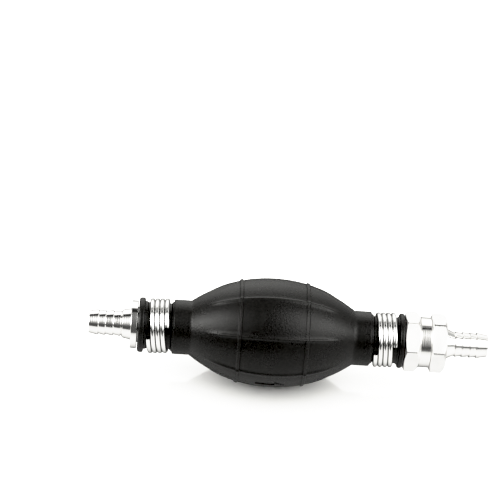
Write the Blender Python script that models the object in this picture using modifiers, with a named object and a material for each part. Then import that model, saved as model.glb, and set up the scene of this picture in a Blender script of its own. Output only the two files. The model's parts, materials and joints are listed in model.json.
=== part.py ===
"""Hand-squeezed siphon bulb pump, lying on its belly.

A hollow rubber bulb is clamped over two aluminium hose fittings by close-wound
steel wire.  Each fitting holds a spring-loaded check valve that lets liquid
through towards the outlet only.  The outlet fitting comes apart at a screwed
joint: a hexagonal tail with a hose barb screws into the body, on a rubber ring.

Dimensions are in millimetres and are turned into metres where a mesh is made.
Stations are distances along the pump axis from the middle of the bulb, negative
towards the inlet and positive towards the outlet.  A profile is a list of
(station, radius) pairs that starts at its highest station, runs down the outer
side and comes back up the inner side.
"""

import math
from typing import NamedTuple

import bmesh
import bpy
import numpy as np
from mathutils import Matrix, Vector

MM = 0.001
GAP = 0.3                     # between pieces that touch on the real pump
EDGE_BREAK = 0.3              # small chamfer on turned edges
CUTTER_OVERRUN = 1.0          # length of a cutter past each face it cuts

# Bulb
BELLY_RADIUS = 22.0
BELLY_CURVE = 57.2            # radius of the belly's lengthwise arc
BELLY_END = 33.5
RING_RIB_STATION = 13.6
RING_RIB_WIDTH = 1.6
RING_RIB_HEIGHT = 0.55
BELLY_SPANS = (3, 4)          # facets from the middle to the ring rib, and beyond it
LONG_RIBS = 8
LONG_RIB_WIDTH = 0.7
LONG_RIB_HEIGHT = 0.45
LONG_RIB_FULL = 20.0          # full height out to this station, then it fades
LONG_RIB_END = 27.0
LONG_RIB_SINK = 0.25          # depth of its crest under the skin at that end
LONG_RIB_ROLL = 12.2          # degrees from straight down to the nearest rib
COLLAR_RADIUS = 11.2
COLLAR_END = 40.5
COLLAR_ROUND = 1.0
NECK_RADII = (10.2, 9.8)      # by the collar and by the bead
BEAD_RADIUS = 11.25
BEAD_RIM = 1.3                # height of the bead's rounded rim
OUTLET_BEAD = (52.1, 54.15)   # stations of its two sides: the hexagon presses it flat
INLET_BEAD = (52.35, 54.85)
BULB_WALL = 2.6
NECK_BORE = 7.5
THROAT_STATION = 36.0         # the chamber narrows to the neck's bore here
CHAMBER_SPANS = 10

# Spring clamps
CLAMP_COIL_RADIUS = 10.55
CLAMP_WIRE = 1.62             # wire diameter
CLAMP_SEAT_RADIUS = 9.1       # neck pressed in under the wire
CLAMP_EDGE = 0.6              # pressed-in strip beyond the outermost wire
CLAMP_SEAT_SLOPE = 0.3        # length of that strip's sloping edge


class Coil(NamedTuple):
    """How one clamp's wire is wound and how it sits; elevations are on the front."""

    start: float              # station of its first cut end
    pitch: float
    turns: float
    cut: float                # elevation of that end, in degrees
    lean: float               # degrees that the coil leans on its neck
    lean_axis: float          # elevation of the line that it leans about


INLET_COIL = Coil(start=-50.19, pitch=2.026, turns=3.928, cut=8.9, lean=5.2, lean_axis=-14.8)
OUTLET_COIL = Coil(start=42.45, pitch=2.009, turns=3.947, cut=4.4, lean=2.4, lean_axis=9.3)

# Hose barbs, for hose of 10 mm bore
HOSE_BORE = 3.4
BARB_TROUGH = 4.75
BARB_CREST = 5.3
BARB_STEP = 0.35              # length of a barb's steep side
TIP_RADIUS = 4.5
TIP_CHAMFER = 0.35

# Inlet nipple
INLET_TIP = -75.0
INLET_NOTCHES = (-70.9, -68.0, -64.8, -61.8)
INLET_CONE = ((-61.2, 5.75), (-57.8, 6.5))
FLANGE_RADIUS = 9.8
FLANGE_LEFT = -57.8
FLANGE_RIGHT = -55.15

# Spigots inside the bulb's necks
SPIGOT_RADIUS = 7.2
SPIGOT_NOTCH_DEPTH = 0.4
SPIGOT_NOTCHES = 3
SPIGOT_END = 38.5
SPIGOT_LEAD = 0.5             # chamfer that leads it into the neck

# Outlet body and tail
HEX_FLAT = 10.8               # half of the 21.6 mm across flats
CHAMFER_RADIUS = 10.7         # the hexagons' faces are turned down to this

# Outlet body
BODY_FACE = 54.45
BODY_CORNER = 12.35           # the corners are turned down to this radius
BODY_CHAMFER = 0.65           # length of the chamfer at the bead's side
BODY_HEX_ROLL = 13.0          # degrees from straight down to the nearest corner
BODY_SLOPE_START = 59.15
SLEEVE_START = 60.75
SLEEVE_RADIUS = 10.3
SLEEVE_END = 64.95
SOCKET_RADIUS = 8.0
RING_SEAT_RADIUS = 9.15
RING_SEAT_DEPTH = 1.2

# Outlet tail
BOSS_RADIUS = 7.7
TAIL_FACE = 65.25
TAIL_HEX_END = 71.35
TAIL_CORNER = 12.2
TAIL_CHAMFERS = (0.65, 1.15)  # lengths, by the sleeve and by the barb
TAIL_HEX_ROLL = 14.0
OUTLET_CONE_RADIUS = 6.5
OUTLET_NOTCHES = (75.3, 78.05, 81.25, 83.95)
OUTLET_TIP = 88.85
BOSS_COUNTERSINK = 5.2
COUNTERSINK_LENGTH = 2.6
BOSS_CHAMFER = 0.5
SEALING_RING_SECTION = 0.4    # radius of its round section

# Check valves, measured from the seat towards the outlet
INLET_SEAT = -50.75
OUTLET_SEAT = 49.65
VALVE_BORE = 5.9
HEAD_RADIUS = 4.8
HEAD_FRONT = 1.4
HEAD_BACK = 2.7
NOSE_RADIUS = 2.9
NOSE_TIP = (-1.2, 1.4)
STEM_RADIUS = 1.2
STEM_END = 10.8
SPRING_BOSS = (3.5, 1.8)
SEAL_SPAN = (0.3, 1.1)
SEAL_BORE = 3.25
VALVE_SPRING_RADIUS = 2.5
VALVE_SPRING_WIRE = 0.6
VALVE_SPRING_TURNS = 4.4
RETAINER_SPAN = (9.0, 10.2)
RETAINER_HOLE = 1.5
FLOW_HOLES = 8
FLOW_HOLE_RADIUS = 0.85
FLOW_HOLE_CIRCLE = 4.1
INLET_RETAINER_RADIUS = 5.6
OUTLET_RETAINER_RADIUS = 7.7
CIRCLIP_SPAN = (10.5, 11.3)
CIRCLIP_RADII = (5.2, 6.2)
CIRCLIP_GROOVE = 6.5
CIRCLIP_OPENING = 4.0

# Facet counts
BULB_STEPS = 40
FITTING_STEPS = 32
VALVE_STEPS = 24
LOOP_POINTS = 24
CURL_POINTS = 10
HOLE_SIDES = 12
RIB_STATIONS = 13
SECTION_POINTS = 8

# Shading: an edge sharper than this many degrees stays sharp
SHARP_EDGE = 32.0
SHARP_WIRE_EDGE = 65.0

# Material: colour, roughness, metallic
FINISHES = {
    "black_rubber": ((0.018, 0.018, 0.019, 1.0), 0.48, 0.0),
    "spring_steel": ((0.80, 0.80, 0.79, 1.0), 0.16, 1.0),
    "cast_aluminium": ((0.86, 0.86, 0.85, 1.0), 0.30, 1.0),
    "turned_aluminium": ((0.90, 0.90, 0.89, 1.0), 0.14, 1.0),
    "brass": ((0.72, 0.55, 0.26, 1.0), 0.28, 1.0),
    "white_acetal": ((0.82, 0.82, 0.79, 1.0), 0.40, 0.0),
    "seal_rubber": ((0.03, 0.03, 0.032, 1.0), 0.60, 0.0),
}


def clear_scene():
    """Remove every object that the file opened with."""
    for obj in list(bpy.data.objects):
        bpy.data.objects.remove(obj, do_unlink=True)


def new_collection(name):
    """Make a collection under the scene's own."""
    made = bpy.data.collections.new(name)
    bpy.context.scene.collection.children.link(made)
    return made


def finish_material(piece_name, finish_name):
    """Give one piece a Principled material of its own in the named finish."""
    colour, roughness, metallic = FINISHES[finish_name]
    made = bpy.data.materials.new(piece_name + "_" + finish_name)
    made.use_nodes = True
    shader = made.node_tree.nodes["Principled BSDF"]
    shader.inputs["Base Color"].default_value = colour
    shader.inputs["Roughness"].default_value = roughness
    shader.inputs["Metallic"].default_value = metallic
    return made


def belly_radius(station):
    """Outer radius of the belly's lengthwise arc at a station."""
    return BELLY_RADIUS - BELLY_CURVE + math.sqrt(BELLY_CURVE ** 2 - station ** 2)


def rest_height():
    """Height of the axis when the belly and its lowest rib touch the ground."""
    roll = math.radians(LONG_RIB_ROLL)
    rib_corner = (BELLY_RADIUS + LONG_RIB_HEIGHT) * math.cos(roll)
    rib_corner += 0.5 * LONG_RIB_WIDTH * math.sin(roll)
    return max(BELLY_RADIUS, rib_corner)


def mirrored(half):
    """Carry a profile half that ends in the middle over to the low stations."""
    return half + [(-station, radius) for station, radius in reversed(half[:-1])]


def arc_points(centre, radius, start, end, count):
    """Points on a circular arc in (station, radius), angles in degrees."""
    points = []
    for angle in np.linspace(math.radians(start), math.radians(end), count):
        station = centre[0] + radius * math.cos(angle)
        points.append((station, centre[1] + radius * math.sin(angle)))
    return points


# ---------------------------------------------------------------- profiles


def clamp_seat(coil):
    """Stations between which the neck is pressed in by a leaning clamp."""
    edge = 0.5 * CLAMP_WIRE + CLAMP_EDGE
    edge += 0.5 * CLAMP_COIL_RADIUS * math.sin(math.radians(coil.lean))
    return coil.start - edge, coil.start + coil.pitch * coil.turns + edge


def bulb_end_profile(seat_low, seat_high, bead):
    """Outer side of a bulb's end, from the bead in to the belly's arc."""
    inner_side, outer_side = bead
    by_collar, by_bead = NECK_RADII
    round_centre = (COLLAR_END - COLLAR_ROUND, COLLAR_RADIUS - COLLAR_ROUND)
    seat_low = max(seat_low, COLLAR_END + 0.5 * CLAMP_SEAT_SLOPE)
    seat_high = min(seat_high, inner_side - 0.5 * CLAMP_SEAT_SLOPE)
    points = []
    for station, radius in arc_points((0.0, 0.0), 1.0, 0.0, 180.0, 7):
        station = 0.5 * (inner_side + outer_side + station * (outer_side - inner_side))
        points.append((station, BEAD_RADIUS - BEAD_RIM + BEAD_RIM * radius))
    points.append((seat_high, by_bead))
    points.append((seat_high - CLAMP_SEAT_SLOPE, CLAMP_SEAT_RADIUS))
    points.append((seat_low + CLAMP_SEAT_SLOPE, CLAMP_SEAT_RADIUS))
    points.append((seat_low, by_collar))
    points += arc_points(round_centre, COLLAR_ROUND, 0.0, 90.0, 3)
    points.append((BELLY_END, COLLAR_RADIUS))
    return points


def belly_half_profile():
    """Outer side of the belly from near its end to its middle, with the ring rib."""
    rib_low = RING_RIB_STATION - 0.5 * RING_RIB_WIDTH
    rib_high = RING_RIB_STATION + 0.5 * RING_RIB_WIDTH
    inner_spans, outer_spans = BELLY_SPANS
    outer = [(s, belly_radius(s)) for s in np.linspace(BELLY_END, rib_high, outer_spans + 1)]
    middle = [(s, belly_radius(s)) for s in np.linspace(rib_low, 0.0, inner_spans + 1)]
    slope = 0.25 * RING_RIB_WIDTH
    crest = [(rib_high - slope, belly_radius(rib_high) + RING_RIB_HEIGHT)]
    crest.append((rib_low + slope, belly_radius(rib_low) + RING_RIB_HEIGHT))
    return outer[1:] + crest + middle


def bulb_profile():
    """Closed section of the bulb's wall."""
    low, high = clamp_seat(OUTLET_COIL)
    outlet_end = bulb_end_profile(low, high, OUTLET_BEAD)
    low, high = clamp_seat(INLET_COIL)
    inlet_end = [(-s, r) for s, r in reversed(bulb_end_profile(-high, -low, INLET_BEAD))]
    belly = mirrored(belly_half_profile())
    chamber_curve = BELLY_CURVE - BULB_WALL
    chamber = []
    for station in np.linspace(-BELLY_END, BELLY_END, CHAMBER_SPANS + 1):
        drop = chamber_curve - math.sqrt(chamber_curve ** 2 - station ** 2)
        chamber.append((station, BELLY_RADIUS - BULB_WALL - drop))
    bore_low = [(-INLET_BEAD[1], NECK_BORE), (-THROAT_STATION, NECK_BORE)]
    bore_high = [(THROAT_STATION, NECK_BORE), (OUTLET_BEAD[1], NECK_BORE)]
    return outlet_end + belly + inlet_end + bore_low + chamber + bore_high


def barb_profile(notches, tip):
    """Outer side of a hose barb from its tip to its innermost notch.

    Each barb is steep on the side away from the tip, so the hose slides on
    over the taper and grips on the step.
    """
    away = 1.0 if tip > notches[0] else -1.0
    points = [(tip, TIP_RADIUS - TIP_CHAMFER)]
    points.append((tip - away * TIP_CHAMFER, TIP_RADIUS))
    for notch in sorted(notches, key=lambda s: -away * s):
        points.append((notch + away * BARB_STEP, BARB_CREST))
        points.append((notch, BARB_TROUGH))
    return points


def spigot_profile(face, end):
    """Outer side of a spigot, notched to hold the rubber, from face to end."""
    away = 1.0 if end > face else -1.0
    points = [(face, SPIGOT_RADIUS)]
    pitch = abs(end - face) / (SPIGOT_NOTCHES + 1)
    for index in range(1, SPIGOT_NOTCHES + 1):
        notch = face + away * pitch * index
        points.append((notch - away * BARB_STEP, SPIGOT_RADIUS - SPIGOT_NOTCH_DEPTH))
        points.append((notch, SPIGOT_RADIUS))
    points.append((end - away * SPIGOT_LEAD, SPIGOT_RADIUS))
    points.append((end, SPIGOT_RADIUS - SPIGOT_LEAD))
    return points


def inlet_nipple_profile():
    """Spigot, flange disc, cone and barb, bored through and bored out for the valve."""
    outer = list(reversed(spigot_profile(FLANGE_RIGHT, -SPIGOT_END)))
    outer.append((FLANGE_RIGHT, FLANGE_RADIUS - EDGE_BREAK))
    outer.append((FLANGE_RIGHT - EDGE_BREAK, FLANGE_RADIUS))
    outer.append((FLANGE_LEFT + EDGE_BREAK, FLANGE_RADIUS))
    outer.append((FLANGE_LEFT, FLANGE_RADIUS - EDGE_BREAK))
    outer += [INLET_CONE[1], INLET_CONE[0]]
    outer += list(reversed(barb_profile(INLET_NOTCHES, INLET_TIP)))
    groove_low = INLET_SEAT + CIRCLIP_SPAN[0] - GAP
    groove_high = INLET_SEAT + CIRCLIP_SPAN[1] + GAP
    inner = [(INLET_TIP, HOSE_BORE), (INLET_SEAT, HOSE_BORE), (INLET_SEAT, VALVE_BORE)]
    inner += [(groove_low, VALVE_BORE), (groove_low, CIRCLIP_GROOVE)]
    inner += [(groove_high, CIRCLIP_GROOVE), (groove_high, VALVE_BORE)]
    inner.append((-SPIGOT_END, VALVE_BORE))
    return outer + inner


def outlet_body_profile():
    """Sleeve, hexagon and spigot, bored for the valve and the tail's boss."""
    shoulder = OUTLET_SEAT + RETAINER_SPAN[0] - GAP
    ring_seat = SLEEVE_END - RING_SEAT_DEPTH
    outer = [(SLEEVE_END, SLEEVE_RADIUS - EDGE_BREAK)]
    outer.append((SLEEVE_END - EDGE_BREAK, SLEEVE_RADIUS))
    outer += [(SLEEVE_START, SLEEVE_RADIUS), (BODY_SLOPE_START, BODY_CORNER)]
    outer += [(BODY_FACE + BODY_CHAMFER, BODY_CORNER), (BODY_FACE, CHAMFER_RADIUS)]
    outer += spigot_profile(BODY_FACE, SPIGOT_END)
    inner = [(SPIGOT_END, HOSE_BORE), (OUTLET_SEAT, HOSE_BORE), (OUTLET_SEAT, VALVE_BORE)]
    inner += [(shoulder, VALVE_BORE), (shoulder, SOCKET_RADIUS)]
    inner += [(ring_seat, SOCKET_RADIUS), (ring_seat, RING_SEAT_RADIUS)]
    inner.append((SLEEVE_END, RING_SEAT_RADIUS))
    return outer + inner


def outlet_tail_profile():
    """Barb, cone, hexagon and boss, bored through and countersunk at the boss."""
    boss_end = OUTLET_SEAT + RETAINER_SPAN[1] + GAP
    outer = barb_profile(OUTLET_NOTCHES, OUTLET_TIP)
    outer.append((TAIL_HEX_END, OUTLET_CONE_RADIUS))
    by_sleeve, by_barb = TAIL_CHAMFERS
    outer += [(TAIL_HEX_END, CHAMFER_RADIUS), (TAIL_HEX_END - by_barb, TAIL_CORNER)]
    outer += [(TAIL_FACE + by_sleeve, TAIL_CORNER), (TAIL_FACE, CHAMFER_RADIUS)]
    outer += [(TAIL_FACE, BOSS_RADIUS), (boss_end + BOSS_CHAMFER, BOSS_RADIUS)]
    outer.append((boss_end, BOSS_RADIUS - BOSS_CHAMFER))
    inner = [(boss_end, BOSS_COUNTERSINK), (boss_end + COUNTERSINK_LENGTH, HOSE_BORE)]
    inner.append((OUTLET_TIP, HOSE_BORE))
    return outer + inner


def poppet_profile():
    """Valve poppet: guide stem, spring boss, head and the nose in the seat's bore."""
    boss_top, boss_radius = SPRING_BOSS
    points = [(STEM_END, 0.0), (STEM_END, STEM_RADIUS - EDGE_BREAK)]
    points += [(STEM_END - EDGE_BREAK, STEM_RADIUS), (boss_top, STEM_RADIUS)]
    points += [(boss_top, boss_radius), (HEAD_BACK, boss_radius)]
    points += [(HEAD_BACK, HEAD_RADIUS), (HEAD_FRONT, HEAD_RADIUS)]
    points += [(HEAD_FRONT, NOSE_RADIUS), (0.0, NOSE_RADIUS)]
    points += [NOSE_TIP, (NOSE_TIP[0], 0.0)]
    return points


def ring_profile(span, radii):
    """Closed section of a flat ring."""
    low, high = span
    inner, outer = radii
    return [(high, outer), (low, outer), (low, inner), (high, inner)]


def sealing_ring_profile():
    """Round section of the sealing ring, in the middle of the seat round the boss."""
    station = 0.5 * (SLEEVE_END - RING_SEAT_DEPTH + TAIL_FACE)
    radius = 0.5 * (BOSS_RADIUS + RING_SEAT_RADIUS)
    last = 360.0 - 360.0 / SECTION_POINTS
    return arc_points((station, radius), SEALING_RING_SECTION, 0.0, last, SECTION_POINTS)


# ------------------------------------------------------------------ makers


class Workshop:
    """Makes the pieces and puts them in their collections."""

    def __init__(self, parts, cutters):
        self.parts = parts
        self.cutters = cutters

    def empty(self, name, parent=None, station=0.0):
        """An axis that pieces hang on; its Z runs along the pump."""
        made = bpy.data.objects.new(name, None)
        made.empty_display_size = 10.0 * MM
        made.parent = parent
        made.location = (0.0, 0.0, station * MM)
        self.parts.objects.link(made)
        return made

    def keep(self, obj, axis, finish_name, sharp_degrees=SHARP_EDGE):
        """Hang a finished mesh on its axis, with its material and shading."""
        self.parts.objects.link(obj)
        obj.parent = axis
        obj.data.materials.clear()
        obj.data.materials.append(finish_material(obj.name, finish_name))
        obj.data.shade_smooth()
        obj.data.set_sharp_from_angle(angle=math.radians(sharp_degrees))

    def evaluated(self, obj, name):
        """Copy an object's evaluated shape into a plain mesh object."""
        bpy.context.view_layer.update()
        graph = bpy.context.evaluated_depsgraph_get()
        mesh = bpy.data.meshes.new_from_object(obj.evaluated_get(graph))
        mesh.name = name
        return bpy.data.objects.new(name, mesh)

    def hidden(self, obj):
        """File a guide or a cutter where it is neither rendered nor built."""
        self.cutters.objects.link(obj)
        obj.hide_render = True
        obj.display_type = "WIRE"
        return obj

    def lathe(self, name, profile, steps):
        """Turn a profile about Z with a Screw modifier; return the plain mesh."""
        solid = profile[0][1] == 0.0 and profile[-1][1] == 0.0
        mesh = bpy.data.meshes.new(name + "_profile")
        vertices = [(radius * MM, 0.0, station * MM) for station, radius in profile]
        edges = [(i, i + 1) for i in range(len(vertices) - 1)]
        if not solid:
            edges.append((len(vertices) - 1, 0))
        mesh.from_pydata(vertices, edges, [])
        guide = self.hidden(bpy.data.objects.new(name + "_profile", mesh))
        screw = guide.modifiers.new("turn", "SCREW")
        screw.axis = "Z"
        screw.steps = steps
        screw.render_steps = steps
        screw.use_merge_vertices = True
        screw.merge_threshold = 0.01 * MM
        made = self.evaluated(guide, name)
        bpy.data.objects.remove(guide, do_unlink=True)
        return made

    def boolean(self, obj, operand, operation):
        """Apply one exact Boolean and return the result under the same name."""
        name = obj.name
        self.hidden(obj)
        self.hidden(operand)
        cut = obj.modifiers.new(operation.lower(), "BOOLEAN")
        cut.operation = operation
        cut.solver = "EXACT"
        cut.object = operand
        made = self.evaluated(obj, name + "_made")
        bpy.data.objects.remove(obj, do_unlink=True)
        bpy.data.objects.remove(operand, do_unlink=True)
        made.name = name
        made.data.name = name
        return made

    def prism(self, name, radius, sides, low, high, turn_degrees):
        """Upright prism with its first corner at the given angle from +X."""
        mesh = bpy.data.meshes.new(name)
        shape = bmesh.new()
        bmesh.ops.create_cone(
            shape,
            cap_ends=True,
            segments=sides,
            radius1=radius * MM,
            radius2=radius * MM,
            depth=(high - low) * MM,
        )
        first = next(v.co for v in shape.verts if v.co.z > 0.0)
        turn = math.radians(turn_degrees) - math.atan2(first.y, first.x)
        place = Matrix.Translation((0.0, 0.0, 0.5 * (low + high) * MM))
        shape.transform(place @ Matrix.Rotation(turn, 4, "Z"))
        shape.to_mesh(mesh)
        shape.free()
        return bpy.data.objects.new(name, mesh)

    def wire(self, name, points, diameter):
        """Round wire along a run of points, capped at both ends."""
        curve = bpy.data.curves.new(name, "CURVE")
        curve.dimensions = "3D"
        curve.bevel_depth = 0.5 * diameter * MM
        curve.bevel_resolution = 1
        curve.use_fill_caps = True
        spline = curve.splines.new("POLY")
        spline.points.add(len(points) - 1)
        for target, point in zip(spline.points, points):
            target.co = (point[0] * MM, point[1] * MM, point[2] * MM, 1.0)
        guide = self.hidden(bpy.data.objects.new(name + "_run", curve))
        made = self.evaluated(guide, name)
        bpy.data.objects.remove(guide, do_unlink=True)
        shape = bmesh.new()
        shape.from_mesh(made.data)
        bmesh.ops.remove_doubles(shape, verts=shape.verts, dist=0.001 * MM)
        shape.to_mesh(made.data)
        shape.free()
        return made


def helix(radius, pitch, turns, start_degrees, points_per_turn):
    """Centre line of a coil about Z that begins at station 0.

    Seen from the outlet the coil runs anticlockwise from its first point, and
    angles are counted from straight down.
    """
    count = round(turns * points_per_turn) + 1
    points = []
    for index in range(count):
        done = turns * index / (count - 1)
        angle = math.radians(start_degrees) + 2.0 * math.pi * done
        x = radius * math.cos(angle)
        y = radius * math.sin(angle)
        points.append((x, y, pitch * done))
    return points


def least_gap(points, diameter, points_per_turn):
    """Least clear distance between one turn of a wire and the turns beside it."""
    line = np.array(points)
    apart = points_per_turn // 2
    least = math.inf
    for index in range(len(line) - apart):
        others = line[index + apart:]
        nearest = np.linalg.norm(others - line[index], axis=1).min()
        least = min(least, float(nearest))
    return least - diameter


def from_straight_down(elevation_degrees):
    """Angle about the axis of a front-side direction at this elevation.

    Angles about the axis are counted from straight down, towards the back.
    """
    return -(90.0 + elevation_degrees)


# ------------------------------------------------------------------ pieces


def rib_outline():
    """Outline of one lengthwise rib as (radius, station) pairs."""
    stations = np.linspace(-LONG_RIB_END, LONG_RIB_END, RIB_STATIONS)
    crest = []
    root = []
    for station in stations:
        past = max(0.0, abs(station) - LONG_RIB_FULL)
        fade = past / (LONG_RIB_END - LONG_RIB_FULL)
        height = LONG_RIB_HEIGHT - (LONG_RIB_HEIGHT + LONG_RIB_SINK) * fade ** 2
        crest.append((belly_radius(station) + height, station))
        root.append((belly_radius(station) - 0.5 * BULB_WALL, station))
    return crest + root[::-1]


def copies_round_axis(shop, name, source, count, first_degrees, placed):
    """Join evenly spaced copies of a mesh round Z, each first moved by a matrix."""
    shape = bmesh.new()
    for index in range(count):
        turn = math.radians(first_degrees + index * 360.0 / count)
        before = len(shape.verts)
        shape.from_mesh(source.data)
        shape.verts.ensure_lookup_table()
        place = Matrix.Rotation(turn, 4, "Z") @ placed
        bmesh.ops.transform(shape, matrix=place, verts=shape.verts[before:])
    bmesh.ops.remove_doubles(shape, verts=shape.verts, dist=0.001 * MM)
    mesh = bpy.data.meshes.new(name)
    shape.to_mesh(mesh)
    shape.free()
    bpy.data.objects.remove(source, do_unlink=True)
    return bpy.data.objects.new(name, mesh)


def make_rib_plates(shop):
    """All lengthwise ribs, as plates set edgewise round the belly."""
    curve = bpy.data.curves.new("rib_outline", "CURVE")
    curve.dimensions = "2D"
    curve.fill_mode = "BOTH"
    curve.extrude = 0.5 * LONG_RIB_WIDTH * MM
    outline = rib_outline()
    spline = curve.splines.new("POLY")
    spline.points.add(len(outline) - 1)
    spline.use_cyclic_u = True
    for target, (radius, station) in zip(spline.points, outline):
        target.co = (radius * MM, station * MM, 0.0, 1.0)
    guide = shop.hidden(bpy.data.objects.new("rib_outline", curve))
    plate = shop.evaluated(guide, "rib_plate")
    bpy.data.objects.remove(guide, do_unlink=True)
    on_edge = Matrix.Rotation(math.radians(90.0), 4, "X")
    return copies_round_axis(shop, "rib_plates", plate, LONG_RIBS, LONG_RIB_ROLL, on_edge)


def make_bulb(shop, axis):
    """Hollow rubber bulb with its ring ribs, lengthwise ribs, collars and beads."""
    bulb = shop.lathe("bulb", bulb_profile(), BULB_STEPS)
    bulb = shop.boolean(bulb, make_rib_plates(shop), "UNION")
    shop.keep(bulb, axis, "black_rubber")


def make_clamp(shop, axis, name, coil):
    """Close-wound wire clamp, leaning a little on its neck."""
    first = from_straight_down(coil.cut)
    points = helix(CLAMP_COIL_RADIUS, coil.pitch, coil.turns, first, LOOP_POINTS)
    clamp = shop.wire(name, points, CLAMP_WIRE)
    print(name, "least gap mm", round(least_gap(points, CLAMP_WIRE, LOOP_POINTS), 3))
    shop.keep(clamp, axis, "spring_steel", SHARP_WIRE_EDGE)
    lean_angle = math.radians(from_straight_down(coil.lean_axis))
    lean_axis = Vector((math.cos(lean_angle), math.sin(lean_angle), 0.0))
    lean = Matrix.Rotation(math.radians(coil.lean), 4, lean_axis)
    half = 0.5 * coil.pitch * coil.turns * MM
    middle = Matrix.Translation((0.0, 0.0, coil.start * MM + half))
    clamp.matrix_basis = middle @ lean @ Matrix.Translation((0.0, 0.0, -half))


def make_hex_piece(shop, axis, name, profile, roll, finish_name):
    """Turned fitting whose widest stretch is milled to a hexagon."""
    turned = shop.lathe(name, profile, FITTING_STEPS)
    low = min(station for station, radius in profile) - CUTTER_OVERRUN
    high = max(station for station, radius in profile) + CUTTER_OVERRUN
    corner = HEX_FLAT / math.cos(math.radians(30.0))
    bar = shop.prism(name + "_bar", corner, 6, low, high, roll)
    milled = shop.boolean(turned, bar, "INTERSECT")
    shop.keep(milled, axis, finish_name)


def make_retainer(shop, axis, name, outer_radius):
    """Perforated disc that guides the stem and takes the spring."""
    low, high = RETAINER_SPAN
    disc = shop.lathe(name, ring_profile(RETAINER_SPAN, (RETAINER_HOLE, outer_radius)), VALVE_STEPS)
    low -= CUTTER_OVERRUN
    high += CUTTER_OVERRUN
    hole = shop.prism(name + "_hole", FLOW_HOLE_RADIUS, HOLE_SIDES, low, high, 0.0)
    out = Matrix.Translation((FLOW_HOLE_CIRCLE * MM, 0.0, 0.0))
    holes = copies_round_axis(shop, name + "_holes", hole, FLOW_HOLES, 0.0, out)
    shop.keep(shop.boolean(disc, holes, "DIFFERENCE"), axis, "white_acetal")


def make_circlip(shop, axis):
    """Snap ring, open on one side, that holds the inlet valve in."""
    ring = shop.lathe("inlet_circlip", ring_profile(CIRCLIP_SPAN, CIRCLIP_RADII), VALVE_STEPS)
    low, high = CIRCLIP_SPAN
    low -= CUTTER_OVERRUN
    high += CUTTER_OVERRUN
    slot = shop.prism("circlip_slot", CIRCLIP_OPENING / math.sqrt(2.0), 4, low, high, 45.0)
    slot.data.transform(Matrix.Translation((CIRCLIP_RADII[1] * MM, 0.0, 0.0)))
    shop.keep(shop.boolean(ring, slot, "DIFFERENCE"), axis, "spring_steel")


def make_valve(shop, axis, side):
    """Poppet, its rubber seal and its return spring, on an axis at the seat."""
    poppet = shop.lathe(side + "_poppet", poppet_profile(), VALVE_STEPS)
    shop.keep(poppet, axis, "brass")
    washer = ring_profile(SEAL_SPAN, (SEAL_BORE, HEAD_RADIUS))
    seal = shop.lathe(side + "_poppet_seal", washer, VALVE_STEPS)
    shop.keep(seal, axis, "seal_rubber")
    first = HEAD_BACK + GAP + 0.5 * VALVE_SPRING_WIRE
    last = RETAINER_SPAN[0] - GAP - 0.5 * VALVE_SPRING_WIRE
    pitch = (last - first) / VALVE_SPRING_TURNS
    points = helix(VALVE_SPRING_RADIUS, pitch, VALVE_SPRING_TURNS, 0.0, CURL_POINTS)
    points = [(x, y, z + first) for x, y, z in points]
    name = side + "_valve_spring"
    spring = shop.wire(name, points, VALVE_SPRING_WIRE)
    print(name, "least gap mm", round(least_gap(points, VALVE_SPRING_WIRE, CURL_POINTS), 3))
    shop.keep(spring, axis, "spring_steel", SHARP_WIRE_EDGE)


def build():
    """Make the whole pump on an axis that runs along world X."""
    clear_scene()
    shop = Workshop(new_collection("siphon_bulb_pump"), new_collection("cutters"))
    axis = shop.empty("pump_axis")
    middle = 0.5 * (INLET_TIP + OUTLET_TIP)
    axis.location = (-middle * MM, 0.0, rest_height() * MM)
    axis.rotation_euler = (0.0, math.radians(90.0), 0.0)
    inlet_valve = shop.empty("inlet_valve_axis", axis, INLET_SEAT)
    outlet_valve = shop.empty("outlet_valve_axis", axis, OUTLET_SEAT)
    tail_axis = shop.empty("tail_axis", axis)

    make_bulb(shop, axis)
    make_clamp(shop, axis, "inlet_clamp", INLET_COIL)
    make_clamp(shop, axis, "outlet_clamp", OUTLET_COIL)
    nipple = shop.lathe("inlet_nipple", inlet_nipple_profile(), FITTING_STEPS)
    shop.keep(nipple, axis, "turned_aluminium")
    make_hex_piece(shop, axis, "outlet_body", outlet_body_profile(), BODY_HEX_ROLL,
                   "turned_aluminium")
    make_hex_piece(shop, tail_axis, "outlet_tail", outlet_tail_profile(), TAIL_HEX_ROLL,
                   "cast_aluminium")
    ring = shop.lathe("outlet_sealing_ring", sealing_ring_profile(), FITTING_STEPS)
    shop.keep(ring, tail_axis, "seal_rubber")
    make_valve(shop, inlet_valve, "inlet")
    make_valve(shop, outlet_valve, "outlet")
    make_retainer(shop, inlet_valve, "inlet_retainer", INLET_RETAINER_RADIUS)
    make_retainer(shop, outlet_valve, "outlet_retainer", OUTLET_RETAINER_RADIUS)
    make_circlip(shop, inlet_valve)


build()
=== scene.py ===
"""Looks of a hand siphon bulb pump that lies on its belly on a glossy white table.

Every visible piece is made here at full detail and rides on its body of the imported
model.  Sizes are in millimetres and become metres where a mesh is made.  Stations
are distances along the pump's axis from the middle of the bulb, negative towards
the inlet.  Elevations are degrees about that axis: 0 faces the viewer's side
level with the axis, 90 is the top, 180 the far side.  A section is a list of
(station, radius, fillet) corners, from the outlet end down the outer side and
back up the bore.
"""

import json
import math

import bmesh
import bpy
import numpy as np
from mathutils import Matrix, Vector


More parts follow.
